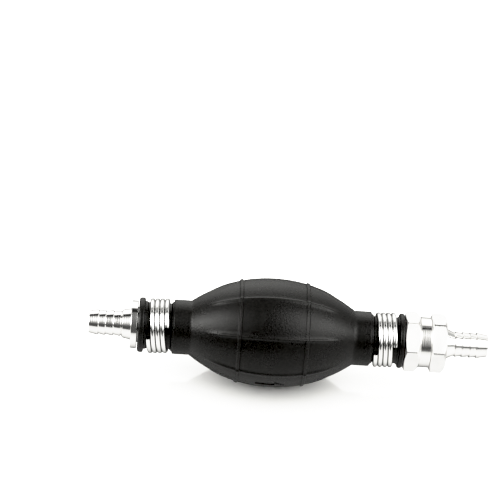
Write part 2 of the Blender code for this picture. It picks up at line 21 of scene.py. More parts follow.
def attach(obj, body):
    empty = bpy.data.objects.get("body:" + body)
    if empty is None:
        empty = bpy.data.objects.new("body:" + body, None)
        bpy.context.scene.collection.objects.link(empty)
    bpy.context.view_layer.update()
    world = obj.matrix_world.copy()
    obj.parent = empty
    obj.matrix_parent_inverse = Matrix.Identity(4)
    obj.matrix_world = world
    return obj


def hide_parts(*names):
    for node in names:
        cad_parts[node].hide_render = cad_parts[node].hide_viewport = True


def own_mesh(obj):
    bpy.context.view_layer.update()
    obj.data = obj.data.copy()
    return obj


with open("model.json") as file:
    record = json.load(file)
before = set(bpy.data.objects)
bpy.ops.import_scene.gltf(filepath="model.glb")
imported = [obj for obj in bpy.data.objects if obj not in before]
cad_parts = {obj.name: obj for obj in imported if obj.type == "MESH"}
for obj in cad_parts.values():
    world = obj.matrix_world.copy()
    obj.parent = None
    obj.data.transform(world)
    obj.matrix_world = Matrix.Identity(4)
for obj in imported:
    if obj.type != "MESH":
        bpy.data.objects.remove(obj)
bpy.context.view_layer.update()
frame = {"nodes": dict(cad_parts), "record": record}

MM = 0.001
AXIS_X = -6.925  # row-frame X of the middle of the bulb
AXIS_Z = 22.017  # height of the pump's axis
FULL_TURN = 2.0 * math.pi

# Camera and lights
PHOTO_SIDE = 500.0  # pixels
FOCAL_PIXELS = 2440.0
SENSOR = 36.0
CAMERA_DISTANCE = 1002.0
SIGHT_ELEVATION = 39.5  # of the line from the bulb's middle to the camera
BULB_PIXEL = (271.7, 332.7)
NOSE_DOWN = 4.2  # degrees that the outlet end dips in the picture
FLOOR_RADIUS = 3000.0
BLACK_LEVEL = 0.0161  # scene light that the picture shows as black
WHITE_LEVEL = 1.45  # and as full white
TONE = ((0.0, 0.0), (0.15, 0.215), (0.3, 0.43), (0.45, 0.645), (0.545, 0.78), (0.664, 0.9),
        (0.755, 0.947), (0.84, 0.973), (0.92, 0.99), (1.0, 1.0))
BACKGROUND = 1.6
BRIGHTEST = 13.0
# Light against the angle up from the viewer's side and over the top: on the table,
# and as the pump mirrors it in its middle plane and on both sides of that
TABLE_LIGHT = ((-180, 0.15), (0, 0.15), (30, 0.15), (50, 3.9), (180, 3.9))
MIDDLE_LIGHT = (
    (-180, 0.8), (-150, 0.1), (-118, 0.15), (-100, 0.6), (-80, 0.95), (-60, 1.15), (-30, 1.2),
    (-12, 1.0), (-6, 0.8), (-3, 0.1), (20, 0.1), (30, 0.1), (60, 0.12), (90, 0.12),
    (99, 0.12), (101, 0.03), (120, 0.03), (126, 1.3), (135, 1.9), (150, 2.2), (160, 1.9),
    (170, 1.55), (180, 1.1))
LEFT_LIGHT = (
    (-180, 0.2), (-150, 0.15), (-120, 0.3), (-100, 1.2), (-80, 1.5), (-50, 1.5), (-12, 1.2),
    (-9, 1.1), (-6, 0.06), (20, 0.06), (30, 0.8), (39, 2.4), (50, 5.5), (62, 9.5), (72, 12.5),
    (80, 11.0), (90, 8.0), (98, 6.0), (101, 0.1), (110, 0.1), (113, 2.5), (120, 1.3),
    (130, 0.4), (140, 0.15), (160, 0.1), (180, 0.1))
RIGHT_LIGHT = (
    (-180, 0.5), (-150, 0.4), (-120, 0.4), (-100, 0.9), (-80, 1.2), (-50, 1.4), (-10, 1.2),
    (3, 1.1), (6, 0.06), (16, 0.06), (19, 1.0), (25, 1.9), (32, 2.7), (40, 3.3), (50, 4.5),
    (60, 5.4), (70, 7.1), (80, 6.2), (90, 4.8), (98, 3.8), (100, 0.04), (110, 0.04),
    (112, 2.4), (120, 1.5), (130, 0.5), (150, 0.5), (170, 0.7), (180, 0.8))
LEFT_EDGE = (-13.0, -52.0)  # degrees aside over which these take over from the middle
RIGHT_EDGE = (2.0, 42.0)
END_SHADE = 0.4  # share of the light left where the tent is seen end on
END_SPAN = (62.0, 90.0)
WARM_WHITE = (1.0, 0.997, 0.972, 1.0)
PANEL_POWER = 1.0
PANEL_SIZE = 1.2
PANEL_PLACE = (0.0, 0.3, 1.2)

# Bulb
BELLY_RADIUS = 22.0
BELLY_CURVE = 57.2
BELLY_END = 33.5
BELLY_ROWS = 96
RING_RIB_STATION = 13.6
RING_RIB_HEIGHT = 0.55
RING_RIB_CREST = 0.5  # half width of its flat top
RING_RIB_FOOT = 0.88  # half width where it meets the skin
RING_RIB_REACH = 1.0  # close rows this far to both sides of it
RING_RIB_ROWS = 17
LEAST_ROW = 0.06
LONG_RIBS = 8
LONG_RIB_ELEVATION = -12.2  # of one of them
LONG_RIB_SIZES = {
    "Rib Count": float(LONG_RIBS), "First Elevation": LONG_RIB_ELEVATION, "Rib Height": 0.45,
    "Crest Half Width": 0.12, "Foot Half Width": 1.1, "Full Height To": 19.0,
    "Fades Out At": 28.5,
}
RIB_COLUMNS = (0.0, 0.1, 0.22, 0.36, 0.52, 0.72, 0.92, 1.15)
PANEL_COLUMNS = 12
COLLAR_RADIUS = 11.2
COLLAR_END = 40.5
NECK_RADII = (10.2, 9.8)  # by the collar and by the bead
NECK_BORE = 7.5
BEADS = ((52.1, 54.15), (52.35, 54.85))  # outlet and inlet: inner and outer station
BEAD_RADIUS = 11.25
BULB_WALL = 2.6
THROAT_STATION = 36.0
BEAD_ROUND = 1.1
BEAD_FOOT = (0.1, 0.35)  # how far its foot is set in, and the round there
NECK_ROUND = 0.3
NECK_LEFT = 0.5  # least neck between the clamp's seat and the bead
SEAT_SIDES = (0.3, 0.25, 0.2)  # run of the seat's sides: collar side, inside, bead side
COLLAR_START = 34.7
COLLAR_ROUND = 1.0
COLLAR_SLOPE = 0.05
CHAMBER_ROWS = 25
SKIN_MARGIN = 0.05  # end of the belly's skin that the ribs leave alone
LIP = 0.01  # keeps two corners of a section apart

# Flow arrow on the bulb's lower front panel: (along, across) outline
ARROW_ELEVATION = -35.3
ARROW_SPAN = (-5.9, 6.0)
ARROW_HEAD = 4.0  # length
ARROW_HALF = (0.95, 2.7)  # half widths of the shaft and the head
ARROW_HEIGHT = 0.4
ARROW_SINK = 0.3
ARROW_EDGE = 0.14
ARROW_STEP = 0.5  # cut across at this step, and along at these places
ARROW_CUTS = (-1.8, -0.6, 0.6, 1.8)
ARROW_PALENESS = 0.3

# Wire clamps: first station, pitch, turns, elevation of the first cut end, and the
# degrees that the coil leans about a line at an elevation
CLAMP_WIRE = 1.97
CLAMP_COIL_RADIUS = 10.3
CLAMPS = {
    "inlet": (-50.19, 2.026, 3.928, 8.9, 5.2, -14.8),
    "outlet": (42.45, 2.009, 3.947, 4.4, 2.4, 9.3),
}
CLAMP_SEAT = 9.45  # neck pressed in under the wire
CLAMP_MESH = (72, 24)  # points a turn and sides of the wire
GROOVE_SHADE_COLOUR = (0.006, 0.006, 0.006, 1.0)  # painted shade, near black, between the wire's turns
GROOVE_SHADE_RISE = 0.78  # share of the wire's radius, outwards, up to which that painted shade shows

# Hose barbs
HOSE_BORE = 3.4
BARB_TROUGH = 4.75
BARB_CREST = 5.3
BARB_STEP = 0.3
TIP_RADIUS = 4.5

# Inlet nipple
INLET_TIP = -75.0
INLET_NOTCHES = (-70.9, -68.0, -64.8, -61.8)
INLET_CONE = (-61.2, 5.75, 6.5)  # start, radius there and radius at the flange
FLANGE = (-57.8, -55.15, 9.8)
SPIGOT_RADIUS = 7.2
SPIGOT_END = 38.5
SPIGOT_NOTCHES = {"inlet": (-42.5, -46.5, -50.5), "outlet": (51.0, 47.0, 43.0)}
NOTCH_SIZE = 0.4
EDGE_BREAK = 0.1  # chamfer on the ends of bores and sleeves
HOSE_MOUTH = 0.3

# Outlet body and tail
HEX_CORNERS = (12.35, 12.2)  # body and tail, turned down to these radii
HEX_FLAT = 10.8  # half of the width across flats
BODY_FACE = 54.45
BODY_CORNER_ELEVATION = 17.0
BODY_SLOPE = ((59.15, 12.35), (60.75, 10.3))
SLEEVE_END = 65.05
SOCKET_START = 58.35
RING_SEAT = (63.75, 9.15)
TAIL_FACE = 65.17
TAIL_HEX_END = 71.35
TAIL_CORNER_ELEVATION = 16.0
CHAMFER_RADIUS = 10.7
CHAMFERS = (0.65, 0.65, 1.15)  # lengths: body, tail's inner and outer sides
HEX_SOFTNESS = 0.06
HEX_COLUMNS = (0.0, 0.8, 1.6, 2.2, 2.6, 3.0, 3.4, 3.8, 4.4)  # degrees off a corner
FLAT_COLUMNS = 13
MILLED_EDGE = (0.04, 0.1)  # depth under the corners' radius where flats start, and its blur
MILLED_FROM = 10.5  # least radius of a milled flat
OUTLET_CONE_RADIUS = 6.5
OUTLET_NOTCHES = (75.3, 78.05, 81.25, 83.95)
OUTLET_TIP = 88.85
BOSS_END = 60.15
BOSS_TAPER = (0.4, 0.5)  # length and depth of the taper at its end
BOSS_FUNNEL = (5.2, 2.6)  # radius at its end and length of the bore's funnel
BOSS_ROOT = (0.15, 0.2)  # plain wall by the hexagon: last corner and first thread row

# Screwed joint: the tail's boss turns in the body's socket
THREAD_PITCH = 1.5
THREAD_DEPTH = 0.75
BOSS_CREST = 7.85
SOCKET_CREST = 7.3
THREAD_FADE = 0.8
THREAD_FORM = (1.4, 0.2)  # steepness of its sides and width of its flat
THREAD_ROW = 0.125
THREAD_MARGIN = 0.1
WALL_TOLERANCE = 0.02

# Rounds on the metal pieces, and how a round is drawn
ROUNDS = {
    "tip": 0.3, "crest": 0.12, "notch": 0.1, "spigot": 0.4, "root": 0.2, "edge": 0.25,
    "sleeve": 0.22, "slope": 0.15, "hexagon": 0.1, "face": 0.08,
}
ROUND_REACH = 0.45  # most of a side that a round may use
ROUND_GUARD = 0.1  # place of its guard points, against its own reach
ROUND_STEPS = 4

# Valves, measured from the seat towards the outlet
SEATS = {"inlet": -50.75, "outlet": 49.65}
VALVE_BORE = 5.9
SPRING_RADIUS = 2.5
SPRING_WIRE = 0.6
SPRING_TURNS = 4.4
SPRING_SPAN = (3.3, 8.4)
SPRING_MESH = (32, 12)
CIRCLIP_GROOVE = (10.2, 11.6, 6.5)
POPPET = (
    (10.8, 0.0, 0.0), (10.8, 1.2, 0.3), (3.5, 1.2, 0.15), (3.5, 1.8, 0.1), (2.7, 1.8, 0.1),
    (2.7, 4.8, 0.2), (1.4, 4.8, 0.15), (1.4, 2.9, 0.0), (0.0, 2.9, 0.1), (-1.2, 1.4, 0.3),
    (-1.2, 0.0, 0.0))
SEALING_RING = (7.7, 0.4)  # radius of its root, and of its own round section
CUT_END = (0.06, 0.1)  # wire's cut ends: length and depth of the broken edge

# Finishes
BLOOM = 1.8  # rubbed rubber against its own colour
CREST_BLOOM = 0.55  # share of that on rib crests, and in patches
PATCH_BLOOM = 0.3
GRAIN_DEPTH = 0.1
PATCH_TONE = 0.82  # dull patches on metal against its own colour
PATCH_SHARE = 0.35
MARK_DEPTH = 0.04
DING_DEPTH = 0.03
METAL_GRAIN_DEPTH = 0.02
MILLED_DULLNESS = 0.3  # more roughness on the hexagons' flats than on turned walls
TABLE_WHITE = (0.86, 0.86, 0.855, 1.0)


# ---- shapes


def belly_radius(station, inset=0.0):
    """Radius of the belly's lengthwise arc, on the skin or this far inside it."""
    curve = BELLY_CURVE - inset
    return BELLY_RADIUS - inset - curve + np.sqrt(curve ** 2 - station ** 2)


def fade(value, start, end):
    """Smooth step from 1 at start to 0 at end."""
    share = min(1.0, max(0.0, (value - start) / (end - start)))
    return 1.0 - share * share * (3.0 - 2.0 * share)


def rounded(corners):
    """Open line through corners, each with the radius or the name of its round.

    Each rounded corner becomes an arc with one guard point before and after it,
    so that smooth shading stays inside the round.
    """
    line = []
    for index, (station, radius, name) in enumerate(corners):
        here = np.array((station, radius))
        fillet = ROUNDS.get(name, name)
        if fillet <= 0.0 or index in (0, len(corners) - 1):
            line.append(tuple(here))
            continue
        before = np.array(corners[index - 1][:2]) - here
        after = np.array(corners[index + 1][:2]) - here
        reach = ROUND_REACH * min(np.linalg.norm(before), np.linalg.norm(after))
        before = before / np.linalg.norm(before)
        after = after / np.linalg.norm(after)
        half = 0.5 * math.acos(max(-1.0, min(1.0, float(before @ after))))
        cut = min(fillet / math.tan(half), reach)
        weight = math.sin(half)
        start = here + cut * before
        end = here + cut * after
        line.append(tuple(start + ROUND_GUARD * cut * before))
        for step in range(ROUND_STEPS + 1):
            t = step / ROUND_STEPS
            a, b, c = (1 - t) ** 2, 2 * t * (1 - t) * weight, t ** 2
            line.append(tuple((a * start + b * here + c * end) / (a + b + c)))
        line.append(tuple(end + ROUND_GUARD * cut * after))
    return line


def from_bmesh(name, shape):
    """Object with this shape, whose bmesh is freed."""
    mesh = bpy.data.meshes.new(name)
    shape.to_mesh(mesh)
    shape.free()
    return bpy.data.objects.new(name, mesh)


def put_in(obj):
    """Put an object in the scene."""
    bpy.context.scene.collection.objects.link(obj)


def at(station, radius, elevation):
    """Row-frame point, in metres, at a place round the pump's axis."""
    e = math.radians(elevation)
    x = AXIS_X + station
    return (x * MM, -radius * math.cos(e) * MM, (AXIS_Z + radius * math.sin(e)) * MM)


def skin(name, columns, elevations):
    """Closed mesh from one closed section at each elevation round the axis.

    Sections that reach the axis are closed there in a point.
    """
    shape = bmesh.new()
    grid = []
    for column, elevation in zip(columns, elevations):
        grid.append([shape.verts.new(at(s, max(r, 0.0), elevation)) for s, r in column])
    rows = len(grid[0])
    for index, column in enumerate(grid):
        following = grid[(index + 1) % len(grid)]
        for row in range(rows):
            below = (row + 1) % rows
            shape.faces.new((column[row], column[below], following[below], following[row]))
    bmesh.ops.remove_doubles(shape, verts=shape.verts, dist=0.0005 * MM)
    bmesh.ops.dissolve_degenerate(shape, edges=shape.edges, dist=0.0001 * MM)
    bmesh.ops.recalc_face_normals(shape, faces=shape.faces)
    if shape.calc_volume(signed=True) < 0.0:
        bmesh.ops.reverse_faces(shape, faces=shape.faces)
    return from_bmesh(name, shape)


def turned(name, section, columns=128):
    """Closed piece turned about the pump's axis."""
    return skin(name, [section] * columns, np.arange(columns) * 360.0 / columns)


def points_of(obj):
    """Place of every vertex of a piece, in metres."""
    return np.array([v.co for v in obj.data.vertices])


def measured(obj):
    """Station, both distances from the axis, and radius of every vertex."""
    points = points_of(obj) / MM
    sideways = points[:, 1]
    upward = points[:, 2] - AXIS_Z
    return points[:, 0] - AXIS_X, sideways, upward, np.hypot(sideways, upward)


def carry(obj, name, values):
    """Store one number or vector a vertex on a mesh."""
    kind = "FLOAT_VECTOR" if np.ndim(values) == 2 else "FLOAT"
    layer = obj.data.attributes.new(name, kind, "POINT")
    field = "vector" if kind == "FLOAT_VECTOR" else "value"
    layer.data.foreach_set(field, np.asarray(values, np.float32).ravel())


def finish(obj, body, slot_name, materials, replaced=(), sharp=35.0, look=None):
    """Put a finished piece in the scene, on its body, in its slot's material or another."""
    put_in(obj)
    obj.data.materials.clear()
    obj.data.materials.append(materials[look or slot_name])
    obj.data.shade_smooth()
    obj.data.set_sharp_from_angle(angle=math.radians(sharp))
    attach(obj, body)
    if replaced:
        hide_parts(*replaced)


# ---- nodes


class Nodes:
    """Short way to write down a node tree."""

    def __init__(self, tree):
        self.tree = tree

    def feed(self, node, key, given):
        """Set an input of a node to a value, or link it to an output."""
        if isinstance(given, bpy.types.NodeSocket):
            self.tree.links.new(given, node.inputs[key])
        else:
            node.inputs[key].default_value = given

    def add(self, kind, inputs=(), **settings):
        """Add a node; inputs is a list of (socket name or number, value or output)."""
        node = self.tree.nodes.new(kind)
        for key, setting in settings.items():
            setattr(node, key, setting)
        for key, given in inputs:
            self.feed(node, key, given)
        return node

    def math(self, operation, *terms):
        """Math node on values or outputs; gives its output."""
        return self.add("ShaderNodeMath", enumerate(terms), operation=operation).outputs[0]

    def between(self, value, low, high, to_low, to_high, way="LINEAR"):
        """Map a value from one range to another, clamped."""
        node = self.add("ShaderNodeMapRange", [
            ("Value", value), ("From Min", low), ("From Max", high),
            ("To Min", to_low), ("To Max", to_high)], interpolation_type=way)
        return node.outputs[0]

    def blend(self, share, first, second):
        """Mix two numbers."""
        span = self.math("SUBTRACT", second, first)
        return self.math("MULTIPLY_ADD", share, span, first)

    def mix(self, share, first, second):
        """Mix two colours."""
        inputs = [(0, share), (6, first), (7, second)]
        return self.add("ShaderNodeMix", inputs, data_type="RGBA").outputs[2]

    def rate(self, size):
        """Texture scale for features of this size in millimetres."""
        return self.math("DIVIDE", 1.0 / MM, size)

    def noise(self, vector, scale, detail, roughness, distortion=0.0):
        """Grey noise."""
        node = self.add("ShaderNodeTexNoise", [
            ("Vector", vector), ("Scale", scale), ("Detail", detail),
            ("Roughness", roughness), ("Distortion", distortion)])
        return node.outputs[0]


class ShapeTree(Nodes):
    """Geometry Nodes tree with named inputs."""

    def __init__(self, name, takes_mesh):
        super().__init__(bpy.data.node_groups.new(name, "GeometryNodeTree"))
        for way in ("INPUT", "OUTPUT") if takes_mesh else ("OUTPUT",):
            self.tree.interface.new_socket(
                "Geometry", in_out=way, socket_type="NodeSocketGeometry")
        self.sizes = []
        self.entry = self.tree.nodes.new("NodeGroupInput")
        self.exit = self.tree.nodes.new("NodeGroupOutput")

    def size(self, name, default, kind="NodeSocketFloat"):
        """Add a named input."""
        socket = self.tree.interface.new_socket(name, in_out="INPUT", socket_type=kind)
        socket.default_value = default
        self.sizes.append(socket.identifier)
        return self.entry.outputs[name]

    def read(self, name, kind="FLOAT"):
        """Attribute that the mesh carries."""
        node = self.add("GeometryNodeInputNamedAttribute", [("Name", name)], data_type=kind)
        return node.outputs[0]

    def close(self, geometry, material):
        """End in Realize Instances and Set Material."""
        real = self.add("GeometryNodeRealizeInstances", [("Geometry", geometry)])
        painted = self.add("GeometryNodeSetMaterial", [
            ("Geometry", real.outputs[0]), ("Material", material)])
        self.feed(self.exit, 0, painted.outputs[0])


def evaluated(obj, tree, values, name):
    """Run a tree on an object, with its sizes in order, for a plain mesh object."""
    put_in(obj)
    modifier = obj.modifiers.new("shape", "NODES")
    modifier.node_group = tree.tree
    for identifier, given in zip(tree.sizes, values):
        modifier[identifier] = given
    obj.update_tag()
    bpy.context.view_layer.update()
    graph = bpy.context.evaluated_depsgraph_get()
    mesh = bpy.data.meshes.new_from_object(obj.evaluated_get(graph))
    mesh.name = name
    bpy.data.objects.remove(obj, do_unlink=True)
    return bpy.data.objects.new(name, mesh)


def coil_tree(material):
    """Round wire wound on a helix about Z, with square cut, edge-broken ends."""
    tree = ShapeTree("wound_wire", takes_mesh=False)
    radius = tree.size("Coil Radius", CLAMP_COIL_RADIUS * MM)
    pitch = tree.size("Pitch", CLAMP_WIRE * MM)
    turns = tree.size("Turns", 4.0)
    wire = tree.size("Wire Diameter", CLAMP_WIRE * MM)
    points = tree.size("Points Per Turn", CLAMP_MESH[0], "NodeSocketInt")
    sides = tree.size("Wire Sides", CLAMP_MESH[1], "NodeSocketInt")
    spiral = tree.add("GeometryNodeCurveSpiral", [
        ("Resolution", points), ("Rotations", turns), ("Start Radius", radius),
        ("End Radius", radius), ("Height", tree.math("MULTIPLY", pitch, turns)),
        ("Reverse", True)])
    place = tree.add("GeometryNodeSplineParameter").outputs["Length"]
    total = tree.add("GeometryNodeSplineLength").outputs["Length"]
    from_end = tree.math("MINIMUM", place, tree.math("SUBTRACT", total, place))
    edge = tree.math("MULTIPLY", wire, CUT_END[0])
    share = tree.math("MINIMUM", tree.math("DIVIDE", from_end, edge), 1.0)
    thick = tree.math("ADD", tree.math("MULTIPLY", share, CUT_END[1]), 1.0 - CUT_END[1])
    ring = tree.add("GeometryNodeCurvePrimitiveCircle", [
        ("Resolution", sides), ("Radius", tree.math("MULTIPLY", wire, 0.5))])
    swept = tree.add("GeometryNodeCurveToMesh", [
        ("Curve", spiral.outputs[0]), ("Profile Curve", ring.outputs[0]), ("Scale", thick),
        ("Fill Caps", True)])
    tree.close(swept.outputs[0], material)
    return tree


def wound(tree, name, radius, pitch, turns, wire, fineness):
    """Coil of wire about Z from the tree above."""
    seed = bpy.data.objects.new(name + "_seed", bpy.data.meshes.new(name + "_seed"))
    values = (radius * MM, pitch * MM, turns, wire * MM, *fineness)
    return evaluated(seed, tree, values, name)


def rib_tree(material):
    """Raise evenly spaced lengthwise ribs on a skin turned about an axis along X.

    The skin carries its station, its place round the axis in degrees, its radius
    and its outward direction as attributes, in millimetres and degrees.
    """
    tree = ShapeTree("moulded_ribs", takes_mesh=True)
    count, first, height, crest, foot, full, end = [
        tree.size(name, default) for name, default in LONG_RIB_SIZES.items()]
    step = tree.math("DIVIDE", 360.0, count)
    half_step = tree.math("MULTIPLY", step, 0.5)
    from_first = tree.math("SUBTRACT", tree.read("elevation"), first)
    within = tree.math("FLOORED_MODULO", tree.math("ADD", from_first, half_step), step)
    angle = tree.math("ABSOLUTE", tree.math("SUBTRACT", within, half_step))
    sideways = tree.math("MULTIPLY", tree.math("RADIANS", angle), tree.read("radius"))
    across = tree.between(sideways, crest, foot, 1.0, 0.0, "SMOOTHSTEP")
    off_middle = tree.math("ABSOLUTE", tree.read("station"))
    along = tree.between(off_middle, full, end, 1.0, 0.0, "SMOOTHSTEP")
    raised = tree.math("MULTIPLY", across, along)
    tall = tree.math("MULTIPLY", tree.math("MULTIPLY", raised, height), MM)
    offset = tree.add("ShaderNodeVectorMath", [
        (0, tree.read("outward", "FLOAT_VECTOR")), ("Scale", tall)], operation="SCALE")
    moved = tree.add("GeometryNodeSetPosition", [
        ("Geometry", tree.entry.outputs["Geometry"]), ("Offset", offset.outputs[0])])
    kept = tree.add("GeometryNodeStoreNamedAttribute", [
        ("Geometry", moved.outputs[0]), ("Name", "crest"), ("Value", raised)],
        data_type="FLOAT", domain="POINT")
    tree.close(kept.outputs[0], material)
    return tree


# ---- materials


def effect_group(name, sizes, outputs):
    """Shader node group over a Vector, with named numbers in and out."""
    group = bpy.data.node_groups.new(name, "ShaderNodeTree")
    group.interface.new_socket("Vector", in_out="INPUT", socket_type="NodeSocketVector")
    for label, default in sizes.items():
        socket = group.interface.new_socket(label, in_out="INPUT", socket_type="NodeSocketFloat")
        socket.default_value = default
    for label in outputs:
        group.interface.new_socket(label, in_out="OUTPUT", socket_type="NodeSocketFloat")
    paint = Nodes(group)
    return paint, paint.add("NodeGroupInput").outputs, paint.add("NodeGroupOutput")


def grain_group():
    """Fine pebbled grain: a height, and a slow blotchy mask over the surface."""
    paint, given, result = effect_group(
        "fine_grain", {"Grain Size": 0.4, "Blotch Size": 9.0, "Detail": 3.0},
        ["Height", "Blotch"])
    grain = paint.noise(given["Vector"], paint.rate(given["Grain Size"]),
                        detail=given["Detail"], roughness=0.6)
    blotch = paint.noise(given["Vector"], paint.rate(given["Blotch Size"]),
                         detail=4.0, roughness=0.55)
    paint.feed(result, "Height", grain)
    paint.feed(result, "Blotch", paint.between(blotch, 0.35, 0.65, 0.0, 1.0))
    return paint.tree


def turning_group():
    """Concentric tool marks round the pump's axis, and scattered small dings."""
    paint, given, result = effect_group(
        "tool_marks", {"Mark Pitch": 0.12, "Waviness": 10.0, "Ding Size": 1.2},
        ["Height", "Dings"])
    place = paint.add("ShaderNodeSeparateXYZ", [("Vector", given["Vector"])]).outputs
    station = paint.math("MULTIPLY", place["X"], 1.0 / MM)
    flat = paint.add("ShaderNodeCombineXYZ", [
        ("X", paint.math("DIVIDE", station, given["Mark Pitch"])),
        ("Y", paint.math("MULTIPLY", place["Y"], given["Waviness"])),
        ("Z", paint.math("MULTIPLY", place["Z"], given["Waviness"]))])
    marks = paint.noise(flat.outputs[0], 1.0, detail=2.0, roughness=0.5)
    cells = paint.add("ShaderNodeTexVoronoi", [
        ("Vector", given["Vector"]), ("Scale", paint.rate(given["Ding Size"])),
        ("Randomness", 1.0)])
    paint.feed(result, "Height", marks)
    paint.feed(result, "Dings", paint.between(cells.outputs["Distance"], 0.08, 0.3, 1.0, 0.0))
    return paint.tree


def handling_group():
    """Smudges: a soft uneven roughness between two limits."""
    paint, given, result = effect_group(
        "handling", {"Smudge Size": 6.0, "Clean Roughness": 0.1, "Dull Roughness": 0.2},
        ["Roughness"])
    smudge = paint.noise(given["Vector"], paint.rate(given["Smudge Size"]),
                         detail=5.0, roughness=0.6, distortion=0.4)
    share = paint.between(smudge, 0.35, 0.7, 0.0, 1.0)
    level = paint.blend(share, given["Clean Roughness"], given["Dull Roughness"])
    paint.feed(result, "Roughness", level)
    return paint.tree


def new_material(name, **sockets):
    """Principled material; sockets set its plain numbers and colours."""
    made = bpy.data.materials.new(name)
    made.use_nodes = True
    shader = made.node_tree.nodes["Principled BSDF"]
    for key, given in sockets.items():
        shader.inputs[key.replace("_", " ")].default_value = given
    return made, Nodes(made.node_tree), shader


def grouped(paint, group, sizes):
    """Place an effect group, read in Object coordinates; gives its outputs."""
    place = paint.add("ShaderNodeTexCoord").outputs["Object"]
    inputs = [("Vector", place), *sizes.items()]
    return paint.add("ShaderNodeGroup", inputs, node_tree=group).outputs


def bumped(paint, shader, heights):
    """Chain of bumps from (height, distance in mm, strength)."""
    chain = []
    for height, distance, strength in heights:
        node = paint.add("ShaderNodeBump", chain + [
            ("Height", height), ("Distance", distance * MM), ("Strength", strength)])
        chain = [("Normal", node.outputs[0])]
    paint.feed(shader, *chain[0])


def attribute(paint, name):
    """Read a named number that a mesh carries."""
    return paint.add("ShaderNodeAttribute", attribute_name=name).outputs["Fac"]


def toned(colour, factor):
    """Same colour, lighter or darker."""
    return tuple(factor * c for c in colour[:3]) + (1.0,)


def surface(name, groups, grain, blotch, smudge, roughness, **sockets):
    """Material with grain, and smudges between two roughnesses; gives its parts."""
    made, paint, shader = new_material(name, **sockets)
    fine = grouped(paint, groups["grain"], {"Grain Size": grain, "Blotch Size": blotch})
    low, high = roughness
    dull = grouped(paint, groups["handling"], {
        "Smudge Size": smudge, "Clean Roughness": low, "Dull Roughness": high})
    return made, paint, shader, fine, dull["Roughness"]


def moulded_material(name, groups, colour, gloss, pits, grain, roughness, strength):
    """Moulded rubber or plastic with a fine grain, rubbed paler on its ribs."""
    made, paint, shader, fine, dull = surface(
        name, groups, grain=grain, blotch=7.0, smudge=14.0, roughness=roughness,
        Metallic=0.0, IOR=gloss)
    worn = paint.math("MULTIPLY", attribute(paint, "crest"), CREST_BLOOM)
    share = paint.math("MAXIMUM", worn, paint.math("MULTIPLY", fine["Blotch"], PATCH_BLOOM))
    speckle = paint.between(fine["Height"], 0.4, 0.6, 0.0, 1.0)
    rubbed = paint.mix(share, colour, toned(colour, BLOOM))
    paint.feed(shader, "Base Color", paint.mix(speckle, toned(colour, pits), rubbed))
    paint.feed(shader, "Roughness", dull)
    bumped(paint, shader, [(fine["Height"], GRAIN_DEPTH, strength)])
    return made


def metal_material(name, groups, colour, roughness, pitch, marks, dings, grain):
    """Bright metal with tool marks, small dings, smudges, and painted shade in its grooves."""
    made, paint, shader, fine, dull = surface(
        name, groups, grain=0.35, blotch=5.0, smudge=7.0, roughness=roughness, Metallic=1.0)
    turning = grouped(paint, groups["turning"], {"Mark Pitch": pitch, "Ding Size": 1.6})
    patch = paint.math("MULTIPLY", fine["Blotch"], PATCH_SHARE)
    shade = paint.mix(patch, colour, toned(colour, PATCH_TONE))
    milled = attribute(paint, "milled")
    # painted shade: the colour goes near black where the clamp wire lies between its turns
    paint.feed(shader, "Base Color", paint.mix(attribute(paint, "groove_shade"), shade, GROOVE_SHADE_COLOUR))
    paint.feed(shader, "Roughness", paint.math("MULTIPLY_ADD", milled, MILLED_DULLNESS, dull))
    bumped(paint, shader, [
        (turning["Height"], MARK_DEPTH, marks), (turning["Dings"], DING_DEPTH, dings),
        (fine["Height"], METAL_GRAIN_DEPTH, grain)])
    return made


def make_materials():
    """Every finish on the pump, by slot name."""
    groups = {"grain": grain_group(), "turning": turning_group(), "handling": handling_group()}
    return {
        "bulb_rubber": moulded_material(
            "moulded_rubber", groups, (0.0075, 0.0073, 0.007, 1.0),
            gloss=1.3, pits=0.6, grain=0.6, roughness=(0.24, 0.32), strength=1.0),
        "seal_rubber": moulded_material(
            "seal_rubber_matt", groups, (0.02, 0.02, 0.021, 1.0),
            gloss=1.45, pits=0.7, grain=0.3, roughness=(0.5, 0.62), strength=0.3),
        "spring_steel": metal_material(
            "plated_wire", groups, (0.93, 0.93, 0.92, 1.0),
            roughness=(0.07, 0.14), pitch=0.4, marks=0.1, dings=0.0, grain=0.05),
        "turned_aluminium": metal_material(
            "bright_turned", groups, (0.96, 0.955, 0.945, 1.0),
            roughness=(0.06, 0.12), pitch=0.3, marks=0.7, dings=0.05, grain=0.1),
        "cast_aluminium": metal_material(
            "tumbled_flats", groups, (0.96, 0.955, 0.945, 1.0),
            roughness=(0.1, 0.16), pitch=0.3, marks=1.0, dings=0.1, grain=0.15),
        "brass": metal_material(
            "turned_brass", groups, (0.78, 0.6, 0.28, 1.0),
            roughness=(0.14, 0.26), pitch=0.12, marks=0.4, dings=0.05, grain=0.1),
        "acetal": moulded_material(
            "white_acetal", groups, (0.42, 0.42, 0.4, 1.0),
            gloss=1.48, pits=0.92, grain=0.3, roughness=(0.3, 0.42), strength=0.15),
    }


# ---- pieces


def clamp_seat(side):
    """Stations between which a clamp presses the neck in."""
    start, pitch, turns = CLAMPS[side][:3]
    return start - 0.5 * CLAMP_WIRE, start + pitch * turns + 0.5 * CLAMP_WIRE


